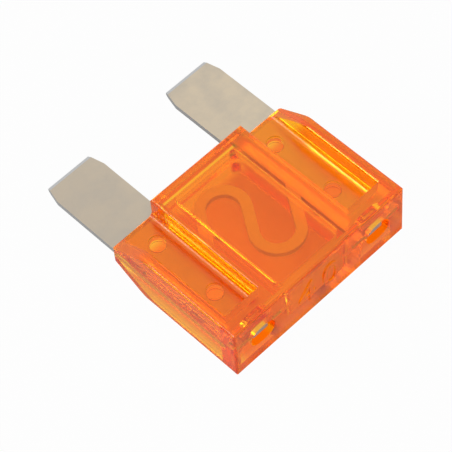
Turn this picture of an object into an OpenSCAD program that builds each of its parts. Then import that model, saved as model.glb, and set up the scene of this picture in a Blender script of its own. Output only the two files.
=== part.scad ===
// Large automotive blade fuse, lying on one face
// X runs across the two blades, +Y towards their tips, and Z up through the thickness
// The origin is under the middle of the whole fuse, on the face that it lies on

/* [Housing] */
// Width across the two side rims
body_w = 29.2; // [28.8:0.1:34]
// Length from the head's face to the blade end
body_l = 21.4; // [20:0.1:26]
// Full thickness
body_t = 8.9; // [8:0.1:12]
// Depth of the full-thickness head that a puller grips
head_l = 2.9; // [2.4:0.1:4]
// Width of the middle block that carries the window
block_w = 15.6; // [14.4:0.1:17]
// Width of each side rim
rim_w = 1.5; // [1:0.1:2]
// Plastic over each face of a terminal
panel_wall = 0.72; // [0.6:0.01:1.2]
// Fillet along the foot of the block and the rims
foot_r = 0.8; // [0.3:0.05:1]
// Rounding of the outer edges
edge_r = 0.35; // [0.1:0.05:0.5]

/* [Ramps at the blade end] */
// Slope of each rim's ramp in degrees
ramp_angle = 30; // [20:1:45]
// Radius that blends the ramp into the face
ramp_r = 6; // [2:0.5:8]

/* [Hollow behind the window] */
// Width of the hollow
hollow_w = 10.8; // [9:0.1:12]
// Plastic between the hollow and each face
window_wall = 2.1; // [1.2:0.05:2.6]
// Plastic between the hollow and the head's face
head_wall = 1.85; // [1.5:0.05:2.2]
// Plastic between the hollow and the blade end
end_wall = 1.3; // [0.8:0.05:2.5]
// Rounding of the hollow's long edges
hollow_r = 0.4; // [0.1:0.05:0.8]
// Rounding of the hollow's four upright corners
hollow_end_r = 1; // [0.3:0.1:1.6]

/* [Fuse strip] */
// Thickness of the stamped strip
strip_t = 0.8; // [0.6:0.05:1]
// Width of each blade
blade_w = 8; // [7:0.1:8.2]
// Distance between the middles of the two blades
blade_pitch = 20.5; // [20:0.1:20.6]
// How far the blades stand out of the housing
blade_out = 12.9; // [9:0.1:16]
// Width left flat at a blade's tip
tip_w = 6.8; // [5:0.1:6.9]
// Length of the tip's tapered corners
tip_l = 2.4; // [1:0.1:4]
// How much each face's bevel takes off the thickness at the tip's end
tip_bevel = 0.2; // [0.05:0.05:0.25]
// Length of that bevel along the blade
tip_bevel_l = 0.5; // [0.2:0.1:1.2]
// Width of the test tab at the head end of a terminal
tab_w = 2.4; // [1.5:0.1:3.2]
// How far the test tab stays below the head's face
tab_recess = 0.5; // [0.3:0.05:0.8]

/* [S-shaped link] */
// Width of the link
link_w = 1.45; // [0.8:0.05:1.8]
// Radius of its two turns, at the link's middle line
link_r = 2.95; // [2.4:0.05:3.1]
// Length of its straight middle run
link_run = 4.3; // [3.4:0.1:5.4]
// Lean of the straight runs from the width, in degrees
link_lean = 57; // [50:1:66]
// Distance from the link's middle to the head's face
link_middle = 12.05; // [11.5:0.05:12.6]

/* [Stakes] */
// Diameter of the stakes through each terminal
stake_d = 2.2; // [1.4:0.1:2.6]
// Distance between the two stakes of a terminal
stake_pitch = 10; // [8:0.1:11]
// Distance from the blade end to the first stake
stake_in = 3.5; // [3:0.1:5]
// Depth of the dimple that the punch leaves over a stake
dimple_depth = 0.1; // [0.05:0.05:0.3]

/* [Test slots] */
// Distance between the middles of the two test slots
slot_pitch = 19.9; // [19:0.1:20.5]
// Width of each test slot
slot_w = 4; // [3.4:0.1:4.6]
// Height of each test slot
slot_h = 3; // [2.4:0.1:3.4]

/* [Fits] */
// Room between the strip and the housing, on each side
strip_gap = 0.05; // [0.03:0.01:0.1]
// Room around a stake in its hole
stake_gap = 0.05; // [0.03:0.01:0.2]
// Bevel inside the slit's mouth, which leads the strip in
lead_in = 0.4; // [0.1:0.05:0.5]

/* [Hidden] */
$fn = 64;
over = 1;

total_l = body_l + blade_out;
head_y = -total_l / 2;
tip_y = total_l / 2;
mouth_y = head_y + body_l;
shelf_y = head_y + head_l;
mid_z = body_t / 2;

block_x = block_w / 2;
rim_x = body_w / 2 - rim_w;
room_t = strip_t + 2 * strip_gap;
panel_z = mid_z + room_t / 2 + panel_wall;

hollow_back_y = head_y + head_wall;
hollow_front_y = mouth_y - end_wall;
hollow_h = body_t - 2 * window_wall;

blade_x = blade_pitch / 2;
blade_in = blade_x - blade_w / 2;
shoulder_y = hollow_back_y + strip_gap;
tab_y = head_y + tab_recess;
tab_x = slot_pitch / 2;
hole_d = stake_d + 2 * stake_gap;
stake_ys = [mouth_y - stake_in, mouth_y - stake_in - stake_pitch];
link_y = head_y + link_middle;

// The ramp meets its blend arc and the arc meets the face at these places
ramp_blend_z = body_t - ramp_r * (1 - cos(ramp_angle));
ramp_blend_y = mouth_y - (ramp_blend_z - panel_z) / tan(ramp_angle);
ramp_top_y = ramp_blend_y - ramp_r * sin(ramp_angle);

module rounded_rect(w, h, r) {
    square([w - 2 * r, h], center = true);
    square([w, h - 2 * r], center = true);
    for (sx = [-1, 1], sy = [-1, 1])
        translate([sx * (w / 2 - r), sy * (h / 2 - r)])
            circle(r);
}

// Extrudes an outline drawn in X and Z along Y, from one place to another
module along_y(from, to) {
    translate([0, to, 0])
        rotate([90, 0, 0])
            linear_extrude(to - from)
                children();
}

// Extrudes an outline drawn in Y and Z along X, centred
module along_x(length) {
    translate([-length / 2, 0, 0])
        rotate([90, 0, 90])
            linear_extrude(length)
                children();
}

// A block whose outer edges are all rounded
module rounded_block() {
    mid_y = head_y + body_l / 2;
    intersection() {
        translate([0, mid_y, 0])
            linear_extrude(body_t)
                rounded_rect(body_w, body_l, edge_r);
        along_y(head_y, mouth_y)
            translate([0, mid_z])
                rounded_rect(body_w, body_t, edge_r);
        along_x(body_w)
            translate([mid_y, mid_z])
                rounded_rect(body_l, body_t, edge_r);
    }
}

// Outline of the recess over a terminal, with a fillet along both feet and both edges rounded
module recess_outline() {
    w = rim_x - block_x;
    h = body_t - panel_z;
    translate([block_x, panel_z]) {
        translate([foot_r, 0])
            square([w - 2 * foot_r, h + over]);
        translate([0, foot_r])
            square([w, h + over - foot_r]);
        for (x = [foot_r, w - foot_r])
            translate([x, foot_r])
                circle(foot_r);
        difference() {
            translate([-edge_r, h - edge_r])
                square([w + 2 * edge_r, edge_r + over]);
            for (x = [-edge_r, w + edge_r])
                translate([x, h - edge_r])
                    circle(edge_r);
        }
    }
}

// What is cut away above the ramp of a rim
module ramp_outline() {
    difference() {
        polygon([
            [ramp_top_y, body_t],
            [ramp_top_y, body_t + over],
            [mouth_y + over, body_t + over],
            [mouth_y + over, panel_z - over * tan(ramp_angle)],
            [ramp_blend_y, ramp_blend_z]
        ]);
        translate([ramp_top_y, body_t - ramp_r])
            circle(ramp_r);
    }
}

// The recess and ramp of the upper face, on the side of +X
module wing_cut() {
    along_y(shelf_y, mouth_y + over)
        recess_outline();
    translate([(rim_x + body_w / 2) / 2, 0, 0])
        along_x(rim_w + 2 * over)
            ramp_outline();
}

module hollow() {
    hollow_l = hollow_front_y - hollow_back_y;
    intersection() {
        along_y(hollow_back_y, hollow_front_y)
            translate([0, mid_z])
                rounded_rect(hollow_w, hollow_h, hollow_r);
        translate([0, hollow_back_y + hollow_l / 2, window_wall])
            linear_extrude(hollow_h)
                rounded_rect(hollow_w, hollow_l, hollow_end_r);
    }
}

// The slit that the strip slides into from the blade end, wider at its mouth
module strip_room() {
    along_x(blade_pitch + blade_w + 2 * strip_gap)
        translate([0, mid_z])
            polygon([
                [hollow_back_y, -room_t / 2],
                [mouth_y - lead_in, -room_t / 2],
                [mouth_y + over, -room_t / 2 - lead_in - over],
                [mouth_y + over, room_t / 2 + lead_in + over],
                [mouth_y - lead_in, room_t / 2],
                [hollow_back_y, room_t / 2]
            ]);
}

// One test slot, from the head's face to the strip
module test_slot() {
    end_x = (slot_w - slot_h) / 2;
    along_y(head_y - over, hollow_back_y + strip_gap)
        translate([tab_x, mid_z]) {
            square([2 * end_x, slot_h], center = true);
            for (x = [-end_x, end_x])
                translate([x, 0])
                    circle(slot_h / 2);
        }
}

// A stake bridges the slit and is rooted half-way into the plastic under each dimple
module stake() {
    stake_h = room_t + panel_wall - dimple_depth;
    translate([0, 0, mid_z - stake_h / 2])
        cylinder(d = stake_d, h = stake_h);
}

module dimple() {
    translate([0, 0, panel_z - dimple_depth])
        cylinder(d = hole_d, h = dimple_depth + over);
}

module housing() {
    color([0.93, 0.42, 0.12, 0.8]) {
        difference() {
            rounded_block();
            for (side = [0, 1], face = [0, 1])
                translate([0, 0, face * body_t])
                    mirror([0, 0, face])
                        mirror([side, 0, 0])
                            wing_cut();
            hollow();
            strip_room();
            for (side = [0, 1])
                mirror([side, 0, 0])
                    test_slot();
            for (x = [-blade_x, blade_x], y = stake_ys, face = [0, 1])
                translate([x, y, face * body_t])
                    mirror([0, 0, face])
                        dimple();
        }
        for (x = [-blade_x, blade_x], y = stake_ys)
            translate([x, y, 0])
                stake();
    }
}

module terminal_outline() {
    difference() {
        polygon([
            [blade_in, shoulder_y],
            [tab_x - tab_w / 2, shoulder_y],
            [tab_x - tab_w / 2, tab_y],
            [tab_x + tab_w / 2, tab_y],
            [tab_x + tab_w / 2, shoulder_y],
            [blade_in + blade_w, shoulder_y],
            [blade_in + blade_w, tip_y - tip_l],
            [blade_x + tip_w / 2, tip_y],
            [blade_x - tip_w / 2, tip_y],
            [blade_in, tip_y - tip_l]
        ]);
        for (y = stake_ys)
            translate([blade_x, y])
                circle(d = hole_d);
    }
}

// Half of the S: from its middle, round one turn and along a tail into the terminal
module half_link() {
    tail_in = blade_in + link_w;
    tail_l = link_run / 2 + (tail_in - 2 * link_r * sin(link_lean)) / cos(link_lean);
    translate([0, -link_w / 2])
        square([link_run / 2, link_w]);
    translate([link_run / 2, link_r])
        difference() {
            circle(link_r + link_w / 2);
            circle(link_r - link_w / 2);
            translate([-2 * link_r, -2 * link_r])
                square([2 * link_r, 4 * link_r]);
        }
    translate([link_run / 2 - tail_l, 2 * link_r - link_w / 2])
        square([tail_l, link_w]);
}

module link_outline() {
    for (turn = [0, 180])
        translate([0, link_y])
            rotate(link_lean + turn)
                half_link();
}

// The strip seen from the side, with a bevel on both faces of the tips
module strip_profile() {
    half_t = strip_t / 2;
    translate([0, mid_z])
        polygon([
            [tab_y, -half_t],
            [tip_y - tip_bevel_l, -half_t],
            [tip_y, tip_bevel - half_t],
            [tip_y, half_t - tip_bevel],
            [tip_y - tip_bevel_l, half_t],
            [tab_y, half_t]
        ]);
}

module fuse_element() {
    color([0.76, 0.74, 0.7])
        intersection() {
            linear_extrude(body_t) {
                for (side = [0, 1])
                    mirror([side, 0])
                        terminal_outline();
                link_outline();
            }
            along_x(body_w)
                strip_profile();
        }
}

housing();
fuse_element();
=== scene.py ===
import math

import bmesh
import bpy
from mathutils import Matrix, Vector
from mathutils.geometry import intersect_point_line
from mathutils.kdtree import KDTree


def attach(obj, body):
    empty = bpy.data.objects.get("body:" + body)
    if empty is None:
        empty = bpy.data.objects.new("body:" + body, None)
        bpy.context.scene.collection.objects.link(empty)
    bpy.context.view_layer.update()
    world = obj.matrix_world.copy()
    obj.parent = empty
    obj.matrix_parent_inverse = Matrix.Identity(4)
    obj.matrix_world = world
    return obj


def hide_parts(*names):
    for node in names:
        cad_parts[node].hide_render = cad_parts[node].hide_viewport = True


mm = 0.001


# Small helpers for node trees

def newMaterial(name):
    material = bpy.data.materials.new(name)
    material.use_nodes = True
    tree = material.node_tree
    return tree, tree.nodes["Principled BSDF"], material


def addNode(tree, kind, **values):
    node = tree.nodes.new("ShaderNode" + kind)
    for name, value in values.items():
        setattr(node, name, value)
    return node


def plug(tree, source, target):
    if hasattr(source, "links"):
        tree.links.new(source, target)
    else:
        target.default_value = source


def maths(tree, operation, *sources):
    node = addNode(tree, "Math", operation=operation)
    for i, source in enumerate(sources):
        plug(tree, source, node.inputs[i])
    return node.outputs[0]


def noise(tree, place, perMm, detail, rough=0.5):
    node = addNode(tree, "TexNoise")
    tree.links.new(place, node.inputs["Vector"])
    node.inputs["Scale"].default_value = perMm / mm
    node.inputs["Detail"].default_value = detail
    node.inputs["Roughness"].default_value = rough
    return node.outputs["Fac"]


def spread(tree, source, fromLow, fromHigh, low, high, smooth=False):
    node = addNode(tree, "MapRange", interpolation_type="SMOOTHSTEP" if smooth else "LINEAR")
    limits = {"From Min": fromLow, "From Max": fromHigh, "To Min": low, "To Max": high}
    for name, value in limits.items():
        node.inputs[name].default_value = value
    tree.links.new(source, node.inputs["Value"])
    return node.outputs["Result"]


def blend(tree, amount, first, second):
    node = addNode(tree, "Mix", data_type="RGBA")
    plug(tree, amount, node.inputs["Factor"])
    for source, name in ((first, "A_Color"), (second, "B_Color")):
        socket = next(s for s in node.inputs if s.identifier == name)
        plug(tree, (*source, 1.0) if isinstance(source, tuple) else source, socket)
    return next(s for s in node.outputs if s.identifier == "Result_Color")


def relief(tree, shader, parts):
    normal = None
    for height, depthMm in parts:
        node = addNode(tree, "Bump")
        node.inputs["Strength"].default_value = 1.0
        node.inputs["Distance"].default_value = depthMm * mm
        tree.links.new(height, node.inputs["Height"])
        if normal:
            tree.links.new(normal, node.inputs["Normal"])
        normal = node.outputs["Normal"]
    tree.links.new(normal, shader.inputs["Normal"])


# The photograph's own view of the fuse: angles in degrees, lengths in mm
view = {
    "azimuth": -39.95,
    "elevation": 56.18,
    "roll": -5.72,
    "distance": 281.06,
    "aim": (-0.318, -0.711, 0.0),
    "sensorWidth": 36.0,
    "lens": 178.11,
    "clip": (10.0, 10000.0),
}


def placeCamera():
    azimuth, elevation, roll = (math.radians(view[k]) for k in ("azimuth", "elevation", "roll"))
    back = Vector((
        math.sin(azimuth) * math.cos(elevation),
        -math.cos(azimuth) * math.cos(elevation),
        math.sin(elevation),
    ))
    right = Vector((math.cos(azimuth), math.sin(azimuth), 0.0))
    turned = Matrix((right, back.cross(right), back)).transposed()
    turned = turned @ Matrix.Rotation(roll, 3, "Z")
    data = bpy.data.cameras.new("camera")
    data.sensor_width = view["sensorWidth"]
    data.lens = view["lens"]
    data.clip_start, data.clip_end = (length * mm for length in view["clip"])
    camera = bpy.data.objects.new("camera", data)
    bpy.context.scene.collection.objects.link(camera)
    place = (Vector(view["aim"]) + back * view["distance"]) * mm
    camera.matrix_world = Matrix.Translation(place) @ turned.to_4x4()
    bpy.context.scene.camera = camera


# Clear amber moulding: the tint sits in the surface and in the depth of the plastic
plastic = {
    "tint": (1.0, 0.56, 0.05),
    "tintDeep": (1.0, 0.52, 0.04),
    "roughness": (0.1, 0.15),
    "ior": 1.58,
    "glossTint": (1.0, 0.92, 0.82),
    "absorbed": (0.0, 0.045, 0.4),
    "absorbedRoom": 1.01,
    "streakPerMm": 0.12,
    "streakDetail": 2.0,
    "streakRange": (0.35, 0.65),
    "grainPerMm": 2.2,
    "grainDetail": 4.0,
    "grainRange": (0.3, 0.7),
    "wavePerMm": 0.25,
    "waveDetail": 1.0,
    "grainDepth": 0.0002,
    "waveDepth": 0.008,
}


def amberPlastic():
    tree, shader, material = newMaterial("amberPlastic")
    place = addNode(tree, "TexCoord").outputs["Object"]
    streaks = noise(tree, place, plastic["streakPerMm"], plastic["streakDetail"])
    grain = noise(tree, place, plastic["grainPerMm"], plastic["grainDetail"])
    waves = noise(tree, place, plastic["wavePerMm"], plastic["waveDetail"])
    deep = spread(tree, streaks, *plastic["streakRange"], 0.0, 1.0)
    colour = blend(tree, deep, plastic["tint"], plastic["tintDeep"])
    tree.links.new(colour, shader.inputs["Base Color"])
    roughness = spread(tree, grain, *plastic["grainRange"], *plastic["roughness"])
    tree.links.new(roughness, shader.inputs["Roughness"])
    shader.inputs["IOR"].default_value = plastic["ior"]
    shader.inputs["Specular Tint"].default_value = (*plastic["glossTint"], 1.0)
    shader.inputs["Transmission Weight"].default_value = 1.0
    relief(tree, shader, ((grain, plastic["grainDepth"]), (waves, plastic["waveDepth"])))
    # One density serves all three colours, so the strongest absorption sets it
    most = max(plastic["absorbed"]) * plastic["absorbedRoom"]
    absorb = addNode(tree, "VolumeAbsorption")
    absorb.inputs["Color"].default_value = (*(1 - a / most for a in plastic["absorbed"]), 1.0)
    absorb.inputs["Density"].default_value = most / mm
    tree.links.new(absorb.outputs[0], tree.nodes["Material Output"].inputs["Volume"])
    return material


# Zinc strip: each colour pair runs from the left blade to the right one. The first pair is painted
# light: the metal inside the housing is painted lighter and pinker where it is seen through the
# plastic. The next range is where the strip leaves the housing, and "edge" says how near the faces
# the sheared edge ends
metal = {
    # Painted light: metal inside the housing, painted lighter and pinker where it is seen through
    # the plastic
    "kept": ((1.0, 0.7, 0.6), (1.0, 0.94, 0.7)),
    "bare": ((0.72, 0.62, 0.49), (0.86, 0.73, 0.55)),
    "stain": (0.62, 0.56, 0.48),
    # Painted light: the right blade is painted lighter than the left
    "paintedLightSpan": (-10.0, 10.0),
    "sheared": (0.72, 0.72, 0.72),
    "roughness": (0.3, 0.42),
    "housingEnds": (3.65, 4.65),
    "middle": 4.45,
    "halfThick": 0.4,
    "edge": (0.93, 0.98),
    "stainPerMm": 0.22,
    "stainDetail": 6.0,
    "stainRough": 0.6,
    "stainRange": (0.42, 0.68),
    "stainMost": 0.6,
    "dentPerMm": 0.44,
    "dentDetail": 2.0,
    "grainPerMm": 3.0,
    "grainDetail": 4.0,
    "grainRange": (0.3, 0.7),
    "grainDepth": 0.004,
    "denting": 0.012,
}


def zincMetal():
    tree, shader, material = newMaterial("zincMetal")
    place = addNode(tree, "TexCoord").outputs["Object"]
    axes = addNode(tree, "SeparateXYZ")
    tree.links.new(place, axes.inputs[0])
    stains = noise(tree, place, metal["stainPerMm"], metal["stainDetail"], metal["stainRough"])
    grain = noise(tree, place, metal["grainPerMm"], metal["grainDetail"])
    dents = noise(tree, place, metal["dentPerMm"], metal["dentDetail"])
    # Painted light: the strip's colours grow lighter from the left blade to the right one
    left, right = (side * mm for side in metal["paintedLightSpan"])
    paintedLightShare = spread(tree, axes.outputs["X"], left, right, 0.0, 1.0)
    stained = spread(tree, stains, *metal["stainRange"], 0.0, metal["stainMost"])
    bare = blend(tree, stained, blend(tree, paintedLightShare, *metal["bare"]), metal["stain"])
    # The painted lighter metal inside the housing gives way to the bare colours where the strip
    # leaves it
    start, end = (y * mm for y in metal["housingEnds"])
    outside = spread(tree, axes.outputs["Y"], start, end, 0.0, 1.0, True)
    face = blend(tree, outside, blend(tree, paintedLightShare, *metal["kept"]), bare)
    height = maths(tree, "SUBTRACT", axes.outputs["Z"], metal["middle"] * mm)
    near, far = (share * metal["halfThick"] * mm for share in metal["edge"])
    edge = spread(tree, maths(tree, "ABSOLUTE", height), near, far, 1.0, 0.0)
    tree.links.new(blend(tree, edge, face, metal["sheared"]), shader.inputs["Base Color"])
    shader.inputs["Metallic"].default_value = 1.0
    roughness = spread(tree, grain, *metal["grainRange"], *metal["roughness"])
    tree.links.new(roughness, shader.inputs["Roughness"])
    relief(tree, shader, ((grain, metal["grainDepth"]), (dents, metal["denting"])))
    return material


def dress(node, material):
    node.data.materials.clear()
    node.data.materials.append(material)


def finishedMesh(thing):
    depsgraph = bpy.context.evaluated_depsgraph_get()
    return bpy.data.meshes.new_from_object(thing.evaluated_get(depsgraph))


# Plain raised digits on the head's end face, joined to a copy of the housing
digits = {
    "text": "40",
    "height": 4.2,
    "apart": 1.35,
    "raised": 0.16,
    "rooted": 0.12,
    "middle": (-0.45, 4.65),
    "face": -17.15,
    "curveSteps": 6,
    "fontDepth": 0.5,
    "fontWeld": 0.00001,
    "weld": 0.0002,
    "samePlace": 0.002,
    "sameFacing": 0.9,
}


def raisedDigits():
    curve = bpy.data.curves.new("digits", "FONT")
    curve.body = digits["text"]
    curve.space_character = digits["apart"]
    curve.resolution_u = digits["curveSteps"]
    curve.extrude = digits["fontDepth"]
    flat = bpy.data.objects.new("digits", curve)
    bpy.context.scene.collection.objects.link(flat)
    mesh = finishedMesh(flat)
    bpy.data.objects.remove(flat)
    low = Vector(min(v.co[i] for v in mesh.vertices) for i in range(3))
    high = Vector(max(v.co[i] for v in mesh.vertices) for i in range(3))
    scale = digits["height"] / (high.y - low.y)
    middleX, middleZ = digits["middle"]
    form = bmesh.new()
    form.from_mesh(mesh)
    bmesh.ops.remove_doubles(form, verts=form.verts, dist=digits["fontWeld"])
    for vertex in form.verts:
        x, y, z = vertex.co
        depth = -digits["raised"] if z > 0 else digits["rooted"]
        vertex.co = Vector((
            middleX + (x - (low.x + high.x) / 2) * scale,
            digits["face"] + depth,
            middleZ + (y - (low.y + high.y) / 2) * scale,
        )) * mm
    bmesh.ops.recalc_face_normals(form, faces=form.faces)
    form.to_mesh(mesh)
    form.free()
    return mesh


# A corner that lies along another face's open edge splits that edge, and the two are welded
def closeSeams(form):
    weld = digits["weld"] * mm

    def meets(edge, vertex):
        start, end = (v.co for v in edge.verts)
        near, share = intersect_point_line(vertex.co, start, end)
        clear = min((vertex.co - start).length, (vertex.co - end).length) > weld
        return clear and 0 < share < 1 and (near - vertex.co).length < weld

    while True:
        edges = [edge for edge in form.edges if edge.is_boundary]
        corners = {vertex for edge in edges for vertex in edge.verts}
        pairs = ((edge, vertex) for edge in edges for vertex in corners)
        found = next((pair for pair in pairs if meets(*pair)), None)
        if not found:
            break
        edge, vertex = found
        added = bmesh.utils.edge_split(edge, edge.verts[0], 0.5)[1]
        added.co = vertex.co
    bmesh.ops.remove_doubles(form, verts=form.verts, dist=weld)


# Every corner of the joined copy keeps the CAD normal of its place; the digits stay flat
def keepNormals(joined, source):
    owner = [polygon for polygon in source.polygons for i in polygon.loop_indices]
    places = KDTree(len(source.loops))
    for i, loop in enumerate(source.loops):
        places.insert(source.vertices[loop.vertex_index].co, i)
    places.balance()
    normals = [Vector() for loop in joined.loops]
    for polygon in joined.polygons:
        for i in polygon.loop_indices:
            place = joined.vertices[joined.loops[i].vertex_index].co
            near = [found[1] for found in places.find_range(place, digits["samePlace"] * mm)]
            fits = [(owner[k].normal.dot(polygon.normal), k) for k in near]
            facing, k = max(fits, default=(0.0, 0))
            kept = facing > digits["sameFacing"]
            normals[i] = source.corner_normals[k].vector.copy() if kept else polygon.normal.copy()
    joined.shade_smooth()
    joined.normals_split_custom_set(normals)


def markedHousing(node, material):
    mesh = node.data.copy()
    form = bmesh.new()
    form.from_mesh(mesh)
    bmesh.ops.remove_doubles(form, verts=form.verts, dist=digits["weld"] * mm)
    form.to_mesh(mesh)
    form.free()
    piece = bpy.data.objects.new("housingMarked", mesh)
    tool = bpy.data.objects.new("digitsTool", raisedDigits())
    for thing in (piece, tool):
        bpy.context.scene.collection.objects.link(thing)
    union = piece.modifiers.new("union", "BOOLEAN")
    union.operation = "UNION"
    union.solver = "EXACT"
    union.object = tool
    joined = finishedMesh(piece)
    piece.modifiers.clear()
    bpy.data.objects.remove(tool)
    piece.data = joined
    form = bmesh.new()
    form.from_mesh(joined)
    closeSeams(form)
    print("open edges", sum(not edge.is_manifold for edge in form.edges))
    form.to_mesh(joined)
    form.free()
    keepNormals(joined, node.data)
    dress(piece, material)
    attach(piece, "root")
    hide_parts("housing")


# Soft white room: the lamps shine through the plastic and draw no white lines on its edges.
# Each step of the painted floor glow, painted amber light with darker painted shade under the
# metal, is where it starts, where it ends and the colour after it, from left to right
lights = {
    "world": 0.7,
    "worldSeen": {"Is Camera Ray": 1.0, "Is Transmission Ray": 1.0, "Is Glossy Ray": 0.1},
    "floorSeen": {"Is Camera Ray": 0.975, "Is Transmission Ray": 1.0, "Is Glossy Ray": 0.1},
    "floor": (0.36, 0.36, 0.36),
    "paintedGlowFirst": (1.0, 0.58, 0.16),
    "paintedGlowSteps": (
        (-13.0, -11.5, (1.0, 0.33, 0.12)),
        (-8.5, -6.5, (0.91, 0.49, 0.15)),
        (-2.0, 5.0, (0.78, 0.41, 0.13)),
        (6.5, 8.5, (0.94, 0.31, 0.12)),
    ),
    "paintedGlowMiddle": (3.0, -7.5),
    "paintedGlowHalf": (17.0, 11.7),
    "paintedGlowFade": 2.0,
    "floorSide": 4000.0,
    "floorDrop": 0.02,
    "lamps": (
        {"name": "front", "place": (-120, -260, 40), "size": (150, 110), "watts": 0.4},
        {"name": "key", "place": (-205, 118, 168), "size": (130, 115), "watts": 0.5},
    ),
}


def seenBy(tree, shares):
    path = addNode(tree, "LightPath")
    most = 0.0
    for ray, share in shares.items():
        most = maths(tree, "MAXIMUM", maths(tree, "MULTIPLY", path.outputs[ray], share), most)
    return most


def whiteRoom():
    world = bpy.data.worlds.new("whiteRoom")
    bpy.context.scene.world = world
    world.use_nodes = True
    tree = world.node_tree
    back = tree.nodes["Background"]
    back.inputs["Color"].default_value = (1, 1, 1, 1)
    strength = spread(tree, seenBy(tree, lights["worldSeen"]), 0.0, 1.0, lights["world"], 1.0)
    tree.links.new(strength, back.inputs["Strength"])
    for lamp in lights["lamps"]:
        data = bpy.data.lights.new(lamp["name"], "AREA")
        data.shape = "RECTANGLE"
        data.size, data.size_y = (side * mm for side in lamp["size"])
        data.energy = lamp["watts"]
        thing = bpy.data.objects.new(lamp["name"], data)
        bpy.context.scene.collection.objects.link(thing)
        thing.visible_glossy = False
        thing.location = Vector(lamp["place"]) * mm
        thing.rotation_euler = (-thing.location).to_track_quat("-Z", "Y").to_euler()


# Painted light on the floor under the fuse: an amber pool standing in for light that comes through
# the plastic, with darker painted shade under the metal strip, shown only to rays seen through the
# plastic and in reflections;
# its colours are matched to the photograph
def paintedAmberLight(tree):
    axes = addNode(tree, "SeparateXYZ")
    tree.links.new(addNode(tree, "TexCoord").outputs["Object"], axes.inputs[0])
    path = addNode(tree, "LightPath")
    rays = (path.outputs[ray] for ray in ("Is Transmission Ray", "Is Glossy Ray"))
    share = maths(tree, "MAXIMUM", *rays)
    colour = lights["paintedGlowFirst"]
    for start, end, after in lights["paintedGlowSteps"]:
        step = spread(tree, axes.outputs["X"], start * mm, end * mm, 0.0, 1.0, True)
        colour = blend(tree, step, colour, after)
    fade = lights["paintedGlowFade"] * mm
    for axis, middle, half in zip("XY", lights["paintedGlowMiddle"], lights["paintedGlowHalf"]):
        off = maths(tree, "SUBTRACT", axes.outputs[axis], middle * mm)
        reach = half * mm
        inside = spread(tree, maths(tree, "ABSOLUTE", off), reach - fade, reach, 1.0, 0.0, True)
        share = maths(tree, "MULTIPLY", share, inside)
    return share, blend(tree, share, (1.0, 1.0, 1.0), colour)


def paleFloor():
    drop = lights["floorDrop"] * mm
    bpy.ops.mesh.primitive_plane_add(size=lights["floorSide"] * mm, location=(0, 0, -drop))
    floor = bpy.context.object
    floor.name = "floor"
    tree, shader, material = newMaterial("paleFloor")
    shader.inputs["Base Color"].default_value = (*lights["floor"], 1)
    shader.inputs["Roughness"].default_value = 1.0
    shader.inputs["Specular IOR Level"].default_value = 0.0
    mix = addNode(tree, "MixShader")
    # The emission mixed in here paints amber light and shade on the floor under the fuse
    share, colour = paintedAmberLight(tree)
    tree.links.new(maths(tree, "MAXIMUM", seenBy(tree, lights["floorSeen"]), share), mix.inputs[0])
    tree.links.new(shader.outputs[0], mix.inputs[1])
    seen = addNode(tree, "Emission")
    tree.links.new(colour, seen.inputs["Color"])
    tree.links.new(seen.outputs[0], mix.inputs[2])
    tree.links.new(mix.outputs[0], tree.nodes["Material Output"].inputs["Surface"])
    floor.data.materials.append(material)


# Light turns often inside the plastic; the last value limits stray bright samples
sampling = {"bounces": 100, "diffuse": 6, "brightest": 4.0}

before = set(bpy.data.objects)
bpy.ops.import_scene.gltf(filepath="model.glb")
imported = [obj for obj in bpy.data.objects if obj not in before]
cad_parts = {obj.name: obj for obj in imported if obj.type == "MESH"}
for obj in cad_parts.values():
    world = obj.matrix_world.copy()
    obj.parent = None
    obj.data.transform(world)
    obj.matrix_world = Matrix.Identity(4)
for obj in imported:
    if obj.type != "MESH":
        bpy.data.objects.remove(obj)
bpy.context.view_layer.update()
print("frame loaded")
placeCamera()
dress(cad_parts["fuse_element"], zincMetal())
print("fuse element dressed")
markedHousing(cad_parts["housing"], amberPlastic())
print("housing marked and dressed")
whiteRoom()
paleFloor()
print("room and floor ready")

scene = bpy.context.scene
scene.view_settings.view_transform = "Standard"
scene.cycles.max_bounces = sampling["bounces"]
scene.cycles.transmission_bounces = sampling["bounces"]
scene.cycles.glossy_bounces = sampling["bounces"]
scene.cycles.diffuse_bounces = sampling["diffuse"]
scene.cycles.sample_clamp_indirect = sampling["brightest"]
